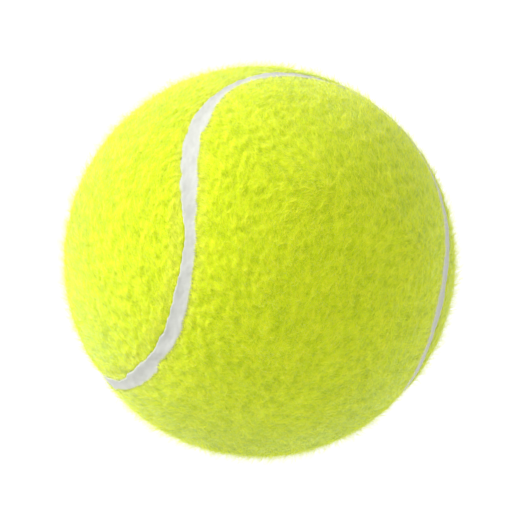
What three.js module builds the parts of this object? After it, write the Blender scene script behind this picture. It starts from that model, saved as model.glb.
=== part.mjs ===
// A tennis ball: two moulded rubber half shells cemented together, two felt panels
// on their films of rubber cement, and one endless seam of white rubber between them.
// Millimetres. The origin is the centre of the ball and +Z is up.

import * as THREE from 'three';
import { ParametricGeometry } from 'three/addons/geometries/ParametricGeometry.js';
import { mergeVertices } from 'three/addons/utils/BufferGeometryUtils.js';

// Driving dimensions. Radii are measured from the centre of the ball.
const BALL_RADIUS = 33.3; // outside of the felt's woven body; its loose nap stands higher
const FELT_THICKNESS = 2.5;
const CEMENT_THICKNESS = 0.3;
const CORE_WALL = 3.4;
const CLEARANCE = 0.35; // left between one piece and the next

const SEAM_WIDTH = 2.4; // of the white rubber, between its two sides
const SEAM_DEPTH = 0.9; // how far its face lies below the felt's
const SEAM_CROWN = 0.15; // how far its middle rises above its sides
const FELT_EDGE_ROUND = 0.8; // rounding of the felt along the seam

const CORE_CEMENT_THICKNESS = 0.4; // of the ring that joins the two half shells
const CORE_RIM_BEVEL = 0.4; // on both corners of each half shell's rim

// The seam's shape: how far it bulges round each lobe, and how high it swings each way.
const LOBE_BULGE = 0.3;
const SEAM_SWING = 0.73;
// The ball lies with the seam's axis along +Y. One lobe of panel b points up, and leans to +X.
const LOBE_LEAN = THREE.MathUtils.degToRad(25.3);

// Fineness of the faceted surfaces.
const PANEL_ROWS = 46; // along a panel, from the tip of one lobe to the other
const FELT_COLUMNS = 14; // across a felt panel
const CEMENT_COLUMNS = 10;
const SEAM_STEPS = 132;
const CORE_SECTORS = 36;
const CORE_ARC_STEPS = 9;

// Radii and half widths that follow from the driving dimensions.
const feltInner = BALL_RADIUS - FELT_THICKNESS;
const cementOuter = feltInner - CLEARANCE;
const cementInner = cementOuter - CEMENT_THICKNESS;
const coreOuter = cementInner - CLEARANCE;
const coreInner = coreOuter - CORE_WALL;
const seamTop = BALL_RADIUS - SEAM_DEPTH;
const seamHalfWidth = SEAM_WIDTH / 2;
const panelSetback = seamHalfWidth + CLEARANCE; // from the seam's centre line to a panel's edge

const FELT_COLOUR = 0xd6ea2f;
const RUBBER_COLOUR = 0x3a3733;
const CEMENT_COLOUR = 0xc9b98e;
const SEAM_COLOUR = 0xe6e9e0;

/** Unit vector to the seam's centre line. The lobes of panel a lie along X, those of panel b along Y. */
function seamDirection(turn) {
  return new THREE.Vector3(
    Math.cos(turn) - LOBE_BULGE * Math.cos(3 * turn),
    Math.sin(turn) + LOBE_BULGE * Math.sin(3 * turn),
    -SEAM_SWING * Math.cos(2 * turn),
  ).normalize();
}

/** Unit vector across the seam at a turn, tangent to the ball and pointing into panel a. */
function acrossSeam(turn) {
  const step = 1e-4;
  const along = seamDirection(turn + step).sub(seamDirection(turn - step));
  return seamDirection(turn).cross(along).normalize();
}

/** Direction of a point beside the seam, the given distance from its centre line on the felt. */
function besideSeam(turn, distance) {
  const angle = distance / BALL_RADIUS;
  const direction = seamDirection(turn).multiplyScalar(Math.cos(angle));
  return direction.addScaledVector(acrossSeam(turn), Math.sin(angle));
}

/** Direction on the great circle from one direction to another, at share 0 to 1 of the way. */
function between(from, to, share) {
  const angle = from.angleTo(to);
  if (angle < 1e-6) {
    return from.clone();
  }
  const result = from.clone().multiplyScalar(Math.sin((1 - share) * angle) / Math.sin(angle));
  return result.addScaledVector(to, Math.sin(share * angle) / Math.sin(angle));
}

/** Joins the vertices that coincide and drops the triangles that have no area. */
function closedGeometry(parametric) {
  parametric.deleteAttribute('normal');
  parametric.deleteAttribute('uv');
  const merged = mergeVertices(parametric, 1e-4);
  const corners = Array.from(merged.index.array);
  const kept = [];
  for (let i = 0; i < corners.length; i += 3) {
    const [a, b, c] = corners.slice(i, i + 3);
    if (a !== b && b !== c && c !== a) {
      kept.push(a, b, c);
    }
  }
  merged.setIndex(kept);
  merged.computeVertexNormals();
  return merged;
}

/**
 * The closed section of a panel, as [share of the way across, radius, inset of the edge] points.
 * It runs over the outer face, down one edge, back under the inner face and up the other edge.
 */
function panelSection(inner, outer, columns, edgeRound) {
  const points = [];
  for (let i = 0; i <= columns; i += 1) {
    points.push({ share: i / columns, radius: outer, inset: edgeRound });
  }
  if (edgeRound > 0) {
    points.push({ share: 1, radius: outer - edgeRound, inset: 0 });
  }
  for (let i = columns; i >= 0; i -= 1) {
    points.push({ share: i / columns, radius: inner, inset: 0 });
  }
  if (edgeRound > 0) {
    points.push({ share: 0, radius: outer - edgeRound, inset: 0 });
  }
  points.push(points[0]);
  return points;
}

/** A panel: the section swept from the tip of one lobe, over the waist, to the tip of the other. */
function panelGeometry(inner, outer, columns, edgeRound) {
  const section = panelSection(inner, outer, columns, edgeRound);
  const place = (along, round, target) => {
    // Rows crowd towards the tips, where the panel narrows to nothing.
    const turn = Math.PI * along;
    const point = section[Math.round(round * (section.length - 1))];
    const setback = panelSetback + point.inset;
    const left = besideSeam(turn, setback);
    const right = besideSeam(-turn, setback);
    target.copy(between(left, right, point.share)).multiplyScalar(point.radius);
  };
  return closedGeometry(new ParametricGeometry(place, PANEL_ROWS, section.length - 1));
}

/** The seam: an endless band of rubber, crowned on its outer face. */
function seamGeometry() {
  const section = [
    { across: -seamHalfWidth, radius: cementInner },
    { across: -seamHalfWidth, radius: seamTop - SEAM_CROWN },
    { across: 0, radius: seamTop },
    { across: seamHalfWidth, radius: seamTop - SEAM_CROWN },
    { across: seamHalfWidth, radius: cementInner },
    { across: 0, radius: cementInner },
  ];
  const place = (along, round, target) => {
    const turn = 2 * Math.PI * (Math.round(along * SEAM_STEPS) % SEAM_STEPS) / SEAM_STEPS;
    const point = section[Math.round(round * section.length) % section.length];
    target.copy(besideSeam(turn, point.across)).multiplyScalar(point.radius);
  };
  return closedGeometry(new ParametricGeometry(place, SEAM_STEPS, section.length));
}

/** A half shell of the core, with its rim at Y = rim and its dome towards +Y. */
function coreHalfGeometry() {
  const rim = CORE_CEMENT_THICKNESS / 2 + CLEARANCE;
  const arc = (radius, height, outwards) => {
    const start = Math.asin(height / radius);
    const points = [];
    for (let i = 0; i <= CORE_ARC_STEPS; i += 1) {
      const share = outwards ? i / CORE_ARC_STEPS : 1 - i / CORE_ARC_STEPS;
      const angle = THREE.MathUtils.lerp(start, Math.PI / 2, share);
      const fromAxis = share === 1 ? 0 : radius * Math.cos(angle);
      points.push(new THREE.Vector2(fromAxis, radius * Math.sin(angle)));
    }
    return points;
  };
  const rimRadius = (radius) => Math.sqrt(radius * radius - rim * rim);
  const profile = [
    ...arc(coreInner, rim + CORE_RIM_BEVEL, false),
    new THREE.Vector2(rimRadius(coreInner) + CORE_RIM_BEVEL, rim),
    new THREE.Vector2(rimRadius(coreOuter) - CORE_RIM_BEVEL, rim),
    ...arc(coreOuter, rim + CORE_RIM_BEVEL, true),
  ];
  return closedGeometry(new THREE.LatheGeometry(profile, CORE_SECTORS));
}

/** The ring of cement between the rims of the two half shells, about the Y axis. */
function coreCementGeometry() {
  const half = CORE_CEMENT_THICKNESS / 2;
  const profile = [
    new THREE.Vector2(coreInner + CORE_RIM_BEVEL, -half),
    new THREE.Vector2(coreOuter - CORE_RIM_BEVEL, -half),
    new THREE.Vector2(coreOuter - CORE_RIM_BEVEL, half),
    new THREE.Vector2(coreInner + CORE_RIM_BEVEL, half),
    new THREE.Vector2(coreInner + CORE_RIM_BEVEL, -half),
  ];
  return closedGeometry(new THREE.LatheGeometry(profile, CORE_SECTORS));
}

function piece(name, geometry, color, roughness) {
  const material = new THREE.MeshStandardMaterial({ color, roughness, metalness: 0 });
  const mesh = new THREE.Mesh(geometry, material);
  mesh.name = name;
  return mesh;
}

/** The core: two half shells and the cement ring, in the Y = 0 plane. */
function makeCore() {
  const core = new THREE.Group();
  const back = piece('core_half_back', coreHalfGeometry(), RUBBER_COLOUR, 0.75);
  const front = piece('core_half_front', coreHalfGeometry(), RUBBER_COLOUR, 0.75);
  front.rotation.z = Math.PI;
  core.add(back, front, piece('core_cement_ring', coreCementGeometry(), CEMENT_COLOUR, 0.6));
  return core;
}

/** A felt panel and the film of cement under it. */
function makePanel(letter) {
  const panel = new THREE.Group();
  const felt = panelGeometry(feltInner, BALL_RADIUS, FELT_COLUMNS, FELT_EDGE_ROUND);
  const film = panelGeometry(cementInner, cementOuter, CEMENT_COLUMNS, 0);
  panel.add(piece(`felt_panel_${letter}`, felt, FELT_COLOUR, 0.95));
  panel.add(piece(`panel_cement_${letter}`, film, CEMENT_COLOUR, 0.6));
  return panel;
}

/** The cover: both panels and the seam, with the seam's axis along Z. */
function makeCover() {
  const cover = new THREE.Group();
  const panelB = makePanel('b');
  // Half a turn about the line midway between the lobes carries one panel onto the other.
  panelB.quaternion.setFromAxisAngle(new THREE.Vector3(1, 1, 0).normalize(), Math.PI);
  cover.add(makePanel('a'), panelB, piece('seam_rubber', seamGeometry(), SEAM_COLOUR, 0.7));
  return cover;
}

const ball = new THREE.Group();
const cover = makeCover();
const axes = new THREE.Matrix4().makeBasis(
  new THREE.Vector3(-Math.cos(LOBE_LEAN), 0, Math.sin(LOBE_LEAN)),
  new THREE.Vector3(Math.sin(LOBE_LEAN), 0, Math.cos(LOBE_LEAN)),
  new THREE.Vector3(0, 1, 0),
);
cover.quaternion.setFromRotationMatrix(axes);
ball.add(makeCore(), cover);

export default ball;
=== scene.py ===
import math
from collections import namedtuple

import bpy
import numpy as np
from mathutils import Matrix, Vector


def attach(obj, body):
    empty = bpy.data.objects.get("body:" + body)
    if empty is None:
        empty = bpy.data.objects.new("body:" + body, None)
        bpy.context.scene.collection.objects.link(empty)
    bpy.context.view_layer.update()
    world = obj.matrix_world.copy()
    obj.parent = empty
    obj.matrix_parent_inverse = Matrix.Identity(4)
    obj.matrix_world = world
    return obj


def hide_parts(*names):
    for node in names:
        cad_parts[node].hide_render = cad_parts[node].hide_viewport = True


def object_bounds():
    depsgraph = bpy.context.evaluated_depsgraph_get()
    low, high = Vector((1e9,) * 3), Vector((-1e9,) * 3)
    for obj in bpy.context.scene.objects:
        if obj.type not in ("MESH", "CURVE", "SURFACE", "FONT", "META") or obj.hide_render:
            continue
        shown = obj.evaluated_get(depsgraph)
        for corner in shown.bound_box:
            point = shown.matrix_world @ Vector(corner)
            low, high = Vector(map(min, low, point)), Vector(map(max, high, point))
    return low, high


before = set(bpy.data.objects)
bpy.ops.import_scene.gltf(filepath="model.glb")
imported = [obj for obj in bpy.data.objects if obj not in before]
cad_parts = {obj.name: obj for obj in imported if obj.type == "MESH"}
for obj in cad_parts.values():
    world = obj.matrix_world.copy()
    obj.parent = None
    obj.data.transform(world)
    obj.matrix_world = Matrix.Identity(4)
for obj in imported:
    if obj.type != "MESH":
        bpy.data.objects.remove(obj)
cad_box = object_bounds()

MM = 0.001

# Lengths are in millimetres, from the centre of the ball. Waves are (height, wavelength, seed).

# The ball. The seam's shape and lie are the CAD model's.
BALL_RADIUS = (cad_box[1].y - cad_box[0].y) / 2 / MM
LOBE_BULGE = 0.3
SEAM_SWING = 0.73
LOBE_LEAN = math.radians(25.3)
FELT_THICKNESS = 2.5

# The band of rubber in the seam.
SEAM_DEPTH = 0.35
SEAM_DISH = 0.1  # how far its sides rise above its middle
SEAM_FLOOR_DEPTH = 3.0  # of its underside
SEAM_HALF_WIDTH = 1.85  # with the sides that lie under the felt
SEAM_TUCK = 0.6  # how far those sides dip
SEAM_TUCK_WIDTH = 0.4
SEAM_LUMPS = ((0.03, 3.5, 61), (0.012, 1.2, 62))
SEAM_ROWS = 1500
SEAM_COLUMNS = 26

# The woven body of the felt, under its nap.
BODY_DROP = 0.35  # how far the body's mean surface lies under the ball's radius
BODY_RELIEF = 0.08
TUFT_RELIEF = 0.12  # of the clumps that the nap lies in
TUFTS = ((0.2, 4.0, 41), (0.6, 1.8, 42), (0.55, 0.9, 43))
EDGE_ROUND = 1.0
EDGE_DROP = 0.85  # at the edge, as a share of the rounding
EDGE_FLATNESS = 0.6  # how much lower the clumps are there
EDGE_SETBACK = 1.2  # from the seam's centre line to the felt's edge, on average
EDGE_WANDER = ((0.28, 15.0, 153), (0.09, 3.2, 21), (0.05, 1.3, 31))
EDGE_LIMITS = (0.7, 1.75)
BODY_ROWS = 330
BODY_COLUMNS = 176
EDGE_CROWDING = 0.6  # how much closer columns lie at the edges than in the middle
UNDER_COLUMNS = 24

# The nap: fibres felted down onto the body, loose ones that stand off it, and a fringe along each edge.
Layer = namedtuple("Layer", "count length width loft loft_limit turn bend roll softening rise")
FELTED = Layer(count=200_000, length=1.6, width=0.05, loft=0.14, loft_limit=0.5, turn=0.55, bend=0.5,
               roll=0.2, softening=0.35, rise=(0.75, 1.05, 0.85))
LOOSE = Layer(count=130_000, length=1.8, width=0.028, loft=0.7, loft_limit=2.2, turn=1.0, bend=0.6,
              roll=1.3, softening=0.0, rise=(0.4, 0.8, 1.05))
FRINGE = Layer(count=26_000, length=1.7, width=0.04, loft=0.2, loft_limit=0.45, turn=0.5, bend=0.35,
               roll=0.4, softening=0.3, rise=(0.8, 1.05, 0.8))
FRINGE_BAND = 2.0  # how far in from the edge the fringe is rooted
COMB = (0.0, 0.9, 0.44)  # the way the nap has been brushed
SWIRL = 0.45  # how far it wanders from that
SWIRL_WAVES = ((1, 22.0, 51), (1, 22.0, 52), (1, 22.0, 53))
EDGE_SPREAD = (-0.35, 1.0)  # how far the nap of each panel turns out over the seam: below 0, away from it
EDGE_SPREAD_WIDTH = 3.5
EDGE_ORDER = 0.5  # how much less the fibres' headings vary right at the edge
EDGE_ORDER_WIDTH = 1.5
EDGE_SHORTENING = 0.3
EDGE_LIE = 0.92  # how much lower the nap lies right at the edge
EDGE_LIE_WIDTH = 2.2
OVERHANG = (0.12, 0.3)  # how far the nap of each panel reaches over the seam
OVERHANG_HEIGHT = 0.05  # above the seam, of what the nap lies on there
OVERHANG_SLOPE = 0.8  # how far out over the seam that slopes down
LEAST_INSET = 0.05  # of a fibre's root
LEAST_CROSSING = 0.05  # below this pace towards the seam, a fibre runs along it
LEAST_LOFT = 0.03
ROOT_DEPTH = 0.04
LENGTH_SPREAD = (0.5, 1.4)  # shortest and longest, as shares of a layer's length
WIDTH_SPREAD = (0.6, 1.4)
LOFT_SHAPE = 1.15  # of the gamma distribution of fibres' heights: a lower one spreads them more
LOFT_TUFTING = 0.25  # how much the clumps raise and lower the nap
MOST_ROLL = 1.4
FIBRE_TAPER = np.array([1.0, 0.95, 0.6, 0.0])
NAP_SEED = 7
SHADE_LIMITS = (-0.45, 0.45)
# Painted shade and light: a felted fibre's colour follows the clumps, darker in their hollows and lighter
# on their tops, where shade and light fall.
PAINTED_CLUMP_SHADE = 0.8  # how much a fibre's shade follows the clumps
TONE_SPREAD = 0.6  # and how much it varies by itself

WAVE_COUNT = 36  # plane waves in each of the noises
WAVE_SPREAD = (0.6, 1.5)  # of their wave numbers, about the noise's own
SEAM_SAMPLES = 1200  # points of the seam that other points are compared with
SEARCH_CHUNK = 20_000  # how many points at once

# The studio, in metres.
KEY_PLACE = (-0.92, 0.54, 0.56)
KEY_SIZE = 0.7
KEY_POWER = 15.2
SKY_STRENGTH = 0.76
FLOOR_GLOW = 1.06
FLOOR_HALF_SIZE = 3.0

# The camera, in front of the ball and looking down on it.
CAMERA_AZIMUTH = math.radians(-4.3)
CAMERA_ELEVATION = math.radians(63.8)
CAMERA_DISTANCE = 12  # in radii of the outline
NAP_OUTLINE = 0.35  # how far the outline of the nap lies outside the ball's radius
OUTLINE_SHARE = 0.379808  # of the picture's width, that the outline's radius takes
CAMERA_SHIFT = (0.0006, 0.0029)
SENSOR_WIDTH = 36


# ---------------------------------------------------------------- shapes shared by all pieces

def unit(v):
    return v / np.linalg.norm(v, axis=-1, keepdims=True)


def to_frame(v):
    """From the seam's own axes, with its axis along Z, to the ball's frame."""
    c, s = math.cos(LOBE_LEAN), math.sin(LOBE_LEAN)
    x, y, z = v[..., 0], v[..., 1], v[..., 2]
    return np.stack([s * y - c * x, z, s * x + c * y], axis=-1)


def seam_direction(turn):
    """Unit vectors to the seam's centre line, in the ball's frame."""
    return to_frame(unit(np.stack([
        np.cos(turn) - LOBE_BULGE * np.cos(3 * turn),
        np.sin(turn) + LOBE_BULGE * np.sin(3 * turn),
        -SEAM_SWING * np.cos(2 * turn),
    ], axis=-1)))


def across_seam(turn):
    """Unit vectors across the seam, pointing into panel a."""
    step = 1e-4
    along = seam_direction(turn + step) - seam_direction(turn - step)
    return unit(np.cross(seam_direction(turn), along))


def beside_seam(turn, distance):
    """Directions of points beside the seam. distance is in millimetres on the ball, positive on panel a."""
    angle = distance / BALL_RADIUS
    c, s = np.cos(angle)[..., None], np.sin(angle)[..., None]
    return c * seam_direction(turn) + s * across_seam(turn)


def plane_waves(wavelength, seed):
    """The wave vectors and phases of some noise of about this wavelength in millimetres."""
    rng = np.random.default_rng(seed)
    k = unit(rng.normal(size=(WAVE_COUNT, 3))) * 2 * math.pi / wavelength
    return k * rng.uniform(*WAVE_SPREAD, (WAVE_COUNT, 1)), rng.uniform(0, 2 * math.pi, WAVE_COUNT)


def waves(points, wavelength, seed):
    """Smooth noise of about unit spread at points in millimetres, as a sum of plane waves."""
    vectors, phases = plane_waves(wavelength, seed)
    total = np.zeros(points.shape[:-1])
    for k, phase in zip(vectors, phases):
        total += np.cos(points @ k + phase)
    return total * math.sqrt(2 / len(phases))


def wave_slopes(points, wavelength, seed):
    """The gradient of the same noise."""
    vectors, phases = plane_waves(wavelength, seed)
    total = np.zeros(points.shape)
    for k, phase in zip(vectors, phases):
        total -= np.sin(points @ k + phase)[..., None] * k
    return total * math.sqrt(2 / len(phases))


def summed(parts, noise, points, seed_step=0):
    """The sum of some waves at points, or with wave_slopes as the noise, of their gradients."""
    return sum(height * noise(points, wavelength, seed + seed_step) for height, wavelength, seed in parts)


SAMPLE_TURNS = np.linspace(0, 2 * math.pi, SEAM_SAMPLES, endpoint=False)
SAMPLE_CENTRES = seam_direction(SAMPLE_TURNS)
SAMPLE_ACROSS = across_seam(SAMPLE_TURNS)


def edge_setback(centres, side):
    """How far the felt's edge lies from the seam's centre line. The two sides wander apart."""
    return np.clip(EDGE_SETBACK + summed(EDGE_WANDER, waves, centres * BALL_RADIUS, side), *EDGE_LIMITS)


SAMPLE_SETBACK = [edge_setback(SAMPLE_CENTRES, side) for side in (0, 1)]


def beside_edge(directions):
    """How far in from the felt's edge each direction lies, its panel (0 for a, 1 for b) and seam sample."""
    nearest = np.empty(len(directions), int)
    for i in range(0, len(directions), SEARCH_CHUNK):
        chunk = directions[i:i + SEARCH_CHUNK]
        nearest[i:i + SEARCH_CHUNK] = (chunk @ SAMPLE_CENTRES.T).argmax(1)
    cosine = (directions * SAMPLE_CENTRES[nearest]).sum(1)
    distance = BALL_RADIUS * np.arccos(np.clip(cosine, -1, 1))
    panel = ((directions * SAMPLE_ACROSS[nearest]).sum(1) < 0).astype(int)
    setback = np.where(panel == 0, SAMPLE_SETBACK[0][nearest], SAMPLE_SETBACK[1][nearest])
    return distance - setback, panel, nearest


def towards_seam(nearest, panel):
    """Unit vectors that point off the panel and across the seam, at each seam sample."""
    return SAMPLE_ACROSS[nearest] * np.where(panel == 0, -1.0, 1.0)[:, None]


def tufting(at, noise=waves):
    """The nap's clumps, about -1 to 1: small tufts on slower swells."""
    return summed(TUFTS, noise, at)


def tuft_normals(at):
    """Unit normals of the clumps' surface."""
    out = unit(at)
    slope = TUFT_RELIEF * tufting(at, wave_slopes)
    slope -= (slope * out).sum(-1, keepdims=True) * out
    return unit(out - slope)


def body_radius(directions, inset):
    """The radius of the felt's body, which rounds off towards its edge."""
    at = directions * BALL_RADIUS
    fall = np.clip(1 - inset / EDGE_ROUND, 0, 1)
    drop = EDGE_ROUND * EDGE_DROP * (1 - np.sqrt(1 - fall ** 2))
    return BALL_RADIUS - BODY_DROP + BODY_RELIEF * tufting(at) * (1 - EDGE_FLATNESS * fall) - drop


def make_mesh(name, vertices, faces):
    """A smooth mesh object from points in millimetres. faces is a list of arrays of triangles or quads."""
    mesh = bpy.data.meshes.new(name)
    counts = np.concatenate([np.full(len(f), f.shape[1]) for f in faces])
    loops = np.concatenate([f.ravel() for f in faces])
    mesh.vertices.add(len(vertices))
    mesh.vertices.foreach_set("co", (vertices * MM).astype(np.float32).ravel())
    mesh.loops.add(len(loops))
    mesh.loops.foreach_set("vertex_index", loops.astype(np.int32))
    mesh.polygons.add(len(counts))
    starts = np.concatenate([[0], np.cumsum(counts)[:-1]])
    mesh.polygons.foreach_set("loop_start", starts.astype(np.int32))
    mesh.polygons.foreach_set("use_smooth", np.full(len(counts), True))
    mesh.update(calc_edges=True)
    mesh.validate()
    made = bpy.data.objects.new(name, mesh)
    bpy.context.scene.collection.objects.link(made)
    return made


def grid_faces(rows, columns, wrap_rows=False):
    """Quads of a grid whose columns wrap round, over rows + 1 rows, or rows that wrap too."""
    i, j = np.meshgrid(np.arange(rows), np.arange(columns), indexing="ij")
    down = (i + 1) % rows if wrap_rows else i + 1
    across = (j + 1) % columns
    corners = [i * columns + j, down * columns + j, down * columns + across, i * columns + across]
    return np.stack(corners, axis=-1).reshape(-1, 4)


# ---------------------------------------------------------------- materials
# Noise scales are per metre.

SHEEN = {"Sheen_Weight": 1.0, "Sheen_Roughness": 0.45, "Sheen_Tint": (0.88, 1.0, 0.86, 1)}
# The felted fibres' deep, mid and light colours are partly their own random tone and partly painted shade
# and light of the clumps: deep stands in for shade in the hollows, light for light on the tops.
NAP_COLOURS = {
    "deep": (0.59, 0.755, 0.001),
    "mid": (0.80, 0.94, 0.003),
    "light": (0.95, 0.99, 0.03),
    "loose": (0.93, 0.99, 0.035),
    "fringe": (0.92, 0.99, 0.09),
}
NAP_MOTTLING = ((0.36, 0.88), (0.5, 1.0), (0.64, 1.08))  # where on the noise, and how light


def new_material(name):
    material = bpy.data.materials.new(name)
    material.use_nodes = True
    return material, material.node_tree.nodes, material.node_tree.links


def set_shader(nodes, **values):
    shader = nodes["Principled BSDF"]
    for key, value in values.items():
        shader.inputs[key.replace("_", " ")].default_value = value
    return shader


def noise_node(nodes, links, scale, detail=4.0, roughness=0.6):
    place = nodes.new("ShaderNodeTexCoord")
    noise = nodes.new("ShaderNodeTexNoise")
    noise.inputs["Scale"].default_value = scale
    noise.inputs["Detail"].default_value = detail
    noise.inputs["Roughness"].default_value = roughness
    links.new(place.outputs["Object"], noise.inputs["Vector"])
    return noise


def colour_ramp(nodes, links, factor, stops):
    ramp = nodes.new("ShaderNodeValToRGB")
    ramp.color_ramp.elements[0].position, ramp.color_ramp.elements[0].color = stops[0]
    ramp.color_ramp.elements[1].position, ramp.color_ramp.elements[1].color = stops[-1]
    for position, colour in stops[1:-1]:
        ramp.color_ramp.elements.new(position).color = colour
    links.new(factor, ramp.inputs["Fac"])
    return ramp


def vary_roughness(nodes, links, shader, factor, low, high):
    spread = nodes.new("ShaderNodeMapRange")
    spread.inputs["From Min"].default_value = 0.3
    spread.inputs["From Max"].default_value = 0.7
    spread.inputs["To Min"].default_value = low
    spread.inputs["To Max"].default_value = high
    links.new(factor, spread.inputs["Value"])
    links.new(spread.outputs["Result"], shader.inputs["Roughness"])


def add_bump(nodes, links, shader, height, strength, distance):
    bump = nodes.new("ShaderNodeBump")
    bump.inputs["Strength"].default_value = strength
    bump.inputs["Distance"].default_value = distance
    links.new(height, bump.inputs["Height"])
    links.new(bump.outputs["Normal"], shader.inputs["Normal"])


def felt_body_material():
    material, nodes, links = new_material("felt_body")
    shader = set_shader(nodes, Specular_IOR_Level=0.2, **SHEEN)
    noise = noise_node(nodes, links, 900, 5.0, 0.65)
    ramp = colour_ramp(nodes, links, noise.outputs["Fac"], [
        (0.3, (0.66, 0.78, 0.004, 1)),
        (0.55, (0.78, 0.89, 0.01, 1)),
        (0.75, (0.86, 0.96, 0.02, 1)),
    ])
    links.new(ramp.outputs["Color"], shader.inputs["Base Color"])
    vary_roughness(nodes, links, shader, noise.outputs["Fac"], 0.85, 1.0)
    fine = noise_node(nodes, links, 3500, 3.0, 0.7)
    add_bump(nodes, links, shader, fine.outputs["Fac"], 0.5, 0.0002)
    return material


def nap_material(shade):
    """Dyed wool and nylon fibres, mottled about the shade's colour. The deep and light shades also hold
    painted shade in the clumps' hollows and painted light on their tops.
    """
    material, nodes, links = new_material(f"nap_{shade}")
    shader = set_shader(nodes, Roughness=0.8, Specular_IOR_Level=0.1, **SHEEN)
    noise = noise_node(nodes, links, 1700, 4.0, 0.7)
    colour = np.array(NAP_COLOURS[shade])
    stops = [(place, (*np.minimum(colour * lightness, 1.0), 1)) for place, lightness in NAP_MOTTLING]
    ramp = colour_ramp(nodes, links, noise.outputs["Fac"], stops)
    links.new(ramp.outputs["Color"], shader.inputs["Base Color"])
    return material


def seam_material():
    material, nodes, links = new_material("seam_white_rubber")
    shader = set_shader(nodes, Specular_IOR_Level=0.4)
    noise = noise_node(nodes, links, 420, 5.0, 0.6)
    ramp = colour_ramp(nodes, links, noise.outputs["Fac"], [
        (0.3, (0.50, 0.51, 0.47, 1)),
        (0.6, (0.56, 0.57, 0.53, 1)),
        (0.8, (0.60, 0.61, 0.58, 1)),
    ])
    links.new(ramp.outputs["Color"], shader.inputs["Base Color"])
    vary_roughness(nodes, links, shader, noise.outputs["Fac"], 0.5, 0.72)
    fine = noise_node(nodes, links, 1500, 4.0, 0.6)
    add_bump(nodes, links, shader, fine.outputs["Fac"], 0.3, 0.0002)
    return material


def core_material():
    material, nodes, links = new_material("core_moulded_rubber")
    shader = set_shader(nodes, Specular_IOR_Level=0.35)
    noise = noise_node(nodes, links, 260, 6.0, 0.6)
    ramp = colour_ramp(nodes, links, noise.outputs["Fac"], [
        (0.3, (0.028, 0.027, 0.025, 1)),
        (0.75, (0.06, 0.055, 0.05, 1)),
    ])
    links.new(ramp.outputs["Color"], shader.inputs["Base Color"])
    vary_roughness(nodes, links, shader, noise.outputs["Fac"], 0.7, 0.9)
    fine = noise_node(nodes, links, 2200, 3.0, 0.6)
    add_bump(nodes, links, shader, fine.outputs["Fac"], 0.4, 0.0002)
    return material


def cement_material():
    material, nodes, links = new_material("rubber_cement")
    shader = set_shader(nodes, Specular_IOR_Level=0.5)
    noise = noise_node(nodes, links, 180, 5.0, 0.55)
    ramp = colour_ramp(nodes, links, noise.outputs["Fac"], [
        (0.3, (0.50, 0.40, 0.22, 1)),
        (0.75, (0.66, 0.57, 0.36, 1)),
    ])
    links.new(ramp.outputs["Color"], shader.inputs["Base Color"])
    vary_roughness(nodes, links, shader, noise.outputs["Fac"], 0.35, 0.6)
    fine = noise_node(nodes, links, 900, 4.0, 0.6)
    add_bump(nodes, links, shader, fine.outputs["Fac"], 0.5, 0.0003)
    return material


def floor_material():
    material, nodes, links = new_material("studio_floor")
    shader = set_shader(nodes, Roughness=0.9, Emission_Strength=FLOOR_GLOW, Specular_IOR_Level=0.1)
    shader.inputs["Base Color"].default_value = (0.06, 0.06, 0.06, 1)
    shader.inputs["Emission Color"].default_value = (1, 1, 1, 1)
    return material


# ---------------------------------------------------------------- the felt's body

def spread_columns(columns):
    """Shares from 0 to 1 across a panel, closer together at its edges."""
    even = np.linspace(0, 1, columns + 1)
    return even - EDGE_CROWDING * np.sin(2 * math.pi * even) / (2 * math.pi)


def great_circle(start, end, share):
    angle = np.arccos(np.clip((start * end).sum(-1, keepdims=True), -1, 1))
    angle = np.maximum(angle, 1e-9)
    return (np.sin((1 - share) * angle) * start + np.sin(share * angle) * end) / np.sin(angle)


def panel_edges(letter):
    """Directions along a panel's two edges, from the tip of one lobe to the tip of the other."""
    panel = "ab".index(letter)
    turn = np.linspace(0, math.pi, BODY_ROWS + 1)
    near, far = (turn, -turn) if panel == 0 else (turn - math.pi / 2, 3 * math.pi / 2 - turn)
    sign = 1 if panel == 0 else -1
    left = beside_seam(near, sign * edge_setback(seam_direction(near), panel))
    right = beside_seam(far, sign * edge_setback(seam_direction(far), panel))
    return left, right


def make_felt_body(letter):
    """A felt panel's woven body, closed: its outer face, its edges and its underside."""
    left, right = panel_edges(letter)
    shares = spread_columns(BODY_COLUMNS)
    outer = great_circle(left[:, None], right[:, None], shares[None, :, None])
    inset, _, _ = beside_edge(outer.reshape(-1, 3))
    radius = body_radius(outer.reshape(-1, 3), np.maximum(inset, 0)).reshape(outer.shape[:2])
    under_shares = np.linspace(1, 0, UNDER_COLUMNS + 1)
    under = great_circle(left[:, None], right[:, None], under_shares[None, :, None])
    foot = BALL_RADIUS - FELT_THICKNESS
    points = np.concatenate([outer * radius[..., None], under * foot], axis=1)
    rows, columns = points.shape[:2]
    quads = grid_faces(rows - 1, columns)
    if letter == "a":
        quads = quads[:, ::-1]
    return make_mesh(f"felt_body_{letter}", points.reshape(-1, 3), [quads])


# ---------------------------------------------------------------- the nap

def combing(directions, inset, nearest, panel):
    """The way the nap lies: brushed one way, with swirls, and turned to or from the seam beside an edge."""
    at = directions * BALL_RADIUS
    swirl = COMB + SWIRL * np.stack([summed([wave], waves, at) for wave in SWIRL_WAVES], axis=-1)
    swirl -= (swirl * directions).sum(1, keepdims=True) * directions
    edge = np.exp(-inset / EDGE_SPREAD_WIDTH)[:, None]
    spread = np.take(EDGE_SPREAD, panel)[:, None]
    return unit(unit(swirl) * (1 - edge * np.abs(spread)) + towards_seam(nearest, panel) * edge * spread)


def fibre_lengths(rng, layer, inset, panel, crossing):
    """Lengths, cut short where a fibre would reach too far over the seam at this pace towards it."""
    fall = np.clip(1 - inset / EDGE_ROUND, 0, 1)
    length = layer.length * rng.uniform(*LENGTH_SPREAD, len(inset)) * (1 - EDGE_SHORTENING * fall)
    reach = inset + np.take(OVERHANG, panel) * rng.random(len(inset))
    return np.minimum(length, reach / np.maximum(crossing, LEAST_CROSSING))


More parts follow.
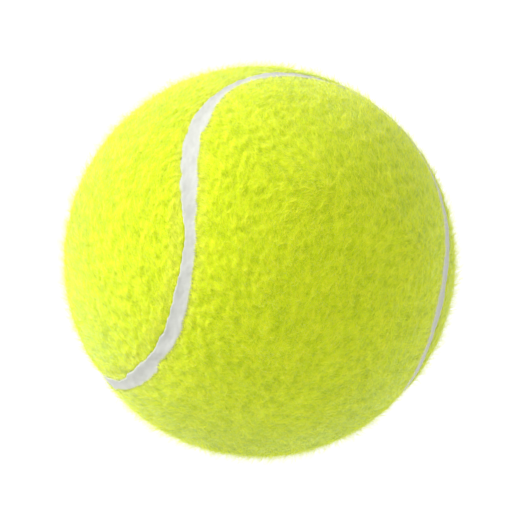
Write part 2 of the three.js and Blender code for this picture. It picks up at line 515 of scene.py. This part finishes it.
def fibre_lofts(rng, layer, directions, inset):
    """How high each fibre stands off what it lies on."""
    loft = rng.gamma(LOFT_SHAPE, layer.loft / LOFT_SHAPE, len(directions))
    loft = LEAST_LOFT + loft * np.exp(LOFT_TUFTING * tufting(directions * BALL_RADIUS))
    return np.minimum(loft, layer.loft_limit) * (1 - EDGE_LIE * np.exp(-inset / EDGE_LIE_WIDTH))


def fibre_paths(rng, layer, directions, inset, panel, nearest):
    """Four points along each fibre, as (fibres, 4, 3) in millimetres, and its sideways vectors."""
    count = len(directions)
    lie = combing(directions, inset, nearest, panel)
    side = np.cross(directions, lie)

    def heading(angle):
        return np.cos(angle)[:, None] * lie + np.sin(angle)[:, None] * side

    turn = rng.normal(0, layer.turn, count) * (1 - EDGE_ORDER * np.exp(-inset / EDGE_ORDER_WIDTH))
    bend = rng.normal(0, layer.bend, count)
    crossing = (heading(turn) * towards_seam(nearest, panel)).sum(1)
    length = fibre_lengths(rng, layer, inset, panel, crossing)
    loft = fibre_lofts(rng, layer, directions, inset)
    at = directions * (under_nap(directions) - ROOT_DEPTH)[:, None]
    points = [at]
    for step, rise in enumerate(layer.rise):
        out = unit(at + heading(turn + bend * (step - 1)) * (length / len(layer.rise))[:, None])
        at = out * (under_nap(out) + loft * rise)[:, None]
        points.append(at)
    path = np.stack(points, axis=1)
    along = unit(np.gradient(path, axis=1))
    roll = np.clip(rng.normal(0, layer.roll, count), -MOST_ROLL, MOST_ROLL)[:, None, None]
    flat = unit(np.cross(along, unit(path)))
    width_way = np.cos(roll) * flat + np.sin(roll) * np.cross(along, flat)
    return path, width_way


def under_nap(directions):
    """The radius of what the nap lies on: the felt's body, and over the seam a slope down to the seam."""
    inset, _, _ = beside_edge(directions)
    body = body_radius(directions, np.maximum(inset, 0))
    share = np.clip((inset + OVERHANG_SLOPE) / (OVERHANG_SLOPE + EDGE_ROUND / 2), 0, 1)
    foot = BALL_RADIUS - SEAM_DEPTH + SEAM_DISH + OVERHANG_HEIGHT
    slope = foot + (BALL_RADIUS - BODY_DROP - foot) * share ** 2 * (3 - 2 * share)
    return np.maximum(body, slope)


def make_fibres(name, path, width_way, width, softening, material):
    """A mesh of flat, tapering fibres, each of two quads and a pointed tip."""
    half = 0.5 * width[:, None, None] * FIBRE_TAPER[None, :, None] * width_way
    # Points 0 to 2 of a fibre run up its left side, 3 to 5 up its right side, and 6 is its tip.
    points = np.concatenate([(path - half)[:, :3], (path + half)[:, :3], path[:, 3:]], axis=1)
    facing = unit(np.cross(width_way, np.gradient(path, axis=1)))
    if softening:
        facing = unit((1 - softening) * facing + softening * tuft_normals(path))
    normals = facing[:, [0, 1, 2, 0, 1, 2, 3]]
    first = np.arange(len(path))[:, None] * points.shape[1]
    quads = np.concatenate([first + [0, 3, 4, 1], first + [1, 4, 5, 2]])
    fibres = make_mesh(name, points.reshape(-1, 3), [quads, first + [2, 5, 6]])
    fibres.data.normals_split_custom_set_from_vertices(normals.reshape(-1, 3))
    fibres.data.materials.append(material)
    return fibres


def grow(rng, layer, directions):
    """The fibres of a layer rooted in these directions: a dictionary of arrays, a row for each fibre."""
    inset, panel, nearest = beside_edge(directions)
    keep = inset > LEAST_INSET
    directions, inset, panel, nearest = directions[keep], inset[keep], panel[keep], nearest[keep]
    path, width_way = fibre_paths(rng, layer, directions, inset, panel, nearest)
    width = layer.width * rng.uniform(*WIDTH_SPREAD, len(path))
    # Painted shade: a fibre is darker where the clumps are low and lighter where they are high, plus a
    # random tone of its own.
    tone_and_painted_shade = PAINTED_CLUMP_SHADE * tufting(directions * BALL_RADIUS) + rng.normal(0, TONE_SPREAD, len(path))
    return {"path": path, "width_way": width_way, "width": width, "panel": panel, "tone_and_painted_shade": tone_and_painted_shade}


def all_over(rng, count):
    return unit(rng.normal(size=(count, 3)))


def along_edges(rng, count):
    """Directions at random within the fringe's band beside the seam, on both panels."""
    distance = (EDGE_SETBACK + FRINGE_BAND * rng.random(count)) * rng.choice((-1, 1), count)
    return beside_seam(rng.uniform(0, 2 * math.pi, count), distance)


def make_nap():
    """The nap of each panel: three shades of felted fibres, sorted partly by painted shade and light of the
    clumps, two lots of loose ones, and a fringe.
    """
    materials = {shade: nap_material(shade) for shade in NAP_COLOURS}
    rng = np.random.default_rng(NAP_SEED)
    felted = grow(rng, FELTED, all_over(rng, FELTED.count))
    loose = grow(rng, LOOSE, all_over(rng, LOOSE.count))
    fringe = grow(rng, FRINGE, along_edges(rng, FRINGE.count))
    lots = []
    # The felted fibres go into deep, mid and light lots by that tone, which carries the painted shade of
    # the clumps.
    for shade, word in enumerate(("deep", "mid", "light")):
        lots.append((word, felted, np.digitize(felted["tone_and_painted_shade"], SHADE_LIMITS) == shade, FELTED))
    for half in range(2):
        lots.append((f"loose_{half + 1}", loose, np.arange(len(loose["tone_and_painted_shade"])) % 2 == half, LOOSE))
    lots.append(("fringe", fringe, np.full(len(fringe["tone_and_painted_shade"]), True), FRINGE))
    pieces = {"a": [], "b": []}
    for word, fibres, chosen, layer in lots:
        for panel, letter in enumerate("ab"):
            rows = chosen & (fibres["panel"] == panel)
            shape = [fibres[part][rows] for part in ("path", "width_way", "width")]
            material = materials[word.split("_")[0]]
            pieces[letter].append(make_fibres(f"nap_{letter}_{word}", *shape, layer.softening, material))
    return pieces


# ---------------------------------------------------------------- the seam

def make_seam():
    """The seam's band: a slightly dished, slightly lumpy strip whose sides dip under both felt edges."""
    turn = np.linspace(0, 2 * math.pi, SEAM_ROWS, endpoint=False)
    offsets = np.linspace(-SEAM_HALF_WIDTH, SEAM_HALF_WIDTH, SEAM_COLUMNS + 1)
    top = beside_seam(turn[:, None], offsets)
    at = top * BALL_RADIUS
    centres = seam_direction(turn)
    setback = np.where(offsets > 0, edge_setback(centres, 0)[:, None], edge_setback(centres, 1)[:, None])
    dip = SEAM_TUCK * np.clip((np.abs(offsets) - setback) / SEAM_TUCK_WIDTH, 0, 1) ** 2
    dish = SEAM_DISH * np.minimum(np.abs(offsets) / EDGE_SETBACK, 1) ** 2
    radius = BALL_RADIUS - SEAM_DEPTH + dish - dip + summed(SEAM_LUMPS, waves, at)
    feet = np.array([SEAM_HALF_WIDTH, 0, -SEAM_HALF_WIDTH])
    under = beside_seam(turn[:, None], feet)
    points = np.concatenate([top * radius[..., None], under * (BALL_RADIUS - SEAM_FLOOR_DEPTH)], axis=1)
    quads = grid_faces(SEAM_ROWS, points.shape[1], wrap_rows=True)
    return make_mesh("seam_band", points.reshape(-1, 3), [quads])


# ---------------------------------------------------------------- building

def declare_felt(body, letter, nap):
    """Hides the CAD solid that a panel's body stands for, and hangs the body and its nap from the root."""
    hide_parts(f"felt_panel_{letter}")
    for piece in [body, *nap]:
        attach(piece, "root")


def make_cover():
    """Both felt panels with their nap, and the seam between them."""
    felt = felt_body_material()
    nap = make_nap()
    for letter in "ab":
        body = make_felt_body(letter)
        body.data.materials.append(felt)
        declare_felt(body, letter, nap[letter])
    seam = make_seam()
    seam.data.materials.append(seam_material())
    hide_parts("seam_rubber")
    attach(seam, "root")


def finish_inner_pieces():
    """The CAD pieces inside the ball keep their shapes and get their materials."""
    rubber, cement = core_material(), cement_material()
    materials = {
        "core_half_back": rubber,
        "core_half_front": rubber,
        "core_cement_ring": cement,
        "panel_cement_a": cement,
        "panel_cement_b": cement,
    }
    for node, material in materials.items():
        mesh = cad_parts[node].data
        mesh.materials.clear()
        mesh.materials.append(material)


# ---------------------------------------------------------------- studio

def make_floor():
    size, height = FLOOR_HALF_SIZE, -(BALL_RADIUS + NAP_OUTLINE) * MM
    corners = [(-size, -size, height), (size, -size, height), (size, size, height), (-size, size, height)]
    mesh = bpy.data.meshes.new("floor")
    mesh.from_pydata(corners, [], [(0, 1, 2, 3)])
    floor = bpy.data.objects.new("floor", mesh)
    bpy.context.scene.collection.objects.link(floor)
    floor.data.materials.append(floor_material())


def add_softbox(name, place, size, power):
    light = bpy.data.lights.new(name, "AREA")
    light.shape = "DISK"
    light.size = size
    light.energy = power
    lamp = bpy.data.objects.new(name, light)
    lamp.location = place
    lamp.rotation_euler = (-Vector(place)).to_track_quat("-Z", "Y").to_euler()
    bpy.context.scene.collection.objects.link(lamp)


def set_world(strength):
    world = bpy.data.worlds.new("studio")
    world.use_nodes = True
    world.node_tree.nodes["Background"].inputs["Color"].default_value = (1, 1, 1, 1)
    world.node_tree.nodes["Background"].inputs["Strength"].default_value = strength
    bpy.context.scene.world = world


def make_camera():
    """A camera whose picture the ball fills to its share of the width."""
    level = math.cos(CAMERA_ELEVATION)
    back = Vector((
        math.sin(CAMERA_AZIMUTH) * level,
        -math.cos(CAMERA_AZIMUTH) * level,
        math.sin(CAMERA_ELEVATION),
    ))
    data = bpy.data.cameras.new("camera")
    data.sensor_width = SENSOR_WIDTH
    data.lens = SENSOR_WIDTH * OUTLINE_SHARE * math.sqrt(CAMERA_DISTANCE ** 2 - 1)
    data.shift_x, data.shift_y = CAMERA_SHIFT
    camera = bpy.data.objects.new("camera", data)
    camera.location = back * CAMERA_DISTANCE * (BALL_RADIUS + NAP_OUTLINE) * MM
    camera.rotation_euler = back.to_track_quat("Z", "Y").to_euler()
    bpy.context.scene.collection.objects.link(camera)
    bpy.context.scene.camera = camera


make_cover()
finish_inner_pieces()
make_floor()
add_softbox("key", KEY_PLACE, KEY_SIZE, KEY_POWER)
set_world(SKY_STRENGTH)
make_camera()
bpy.context.scene.view_settings.view_transform = "Standard"
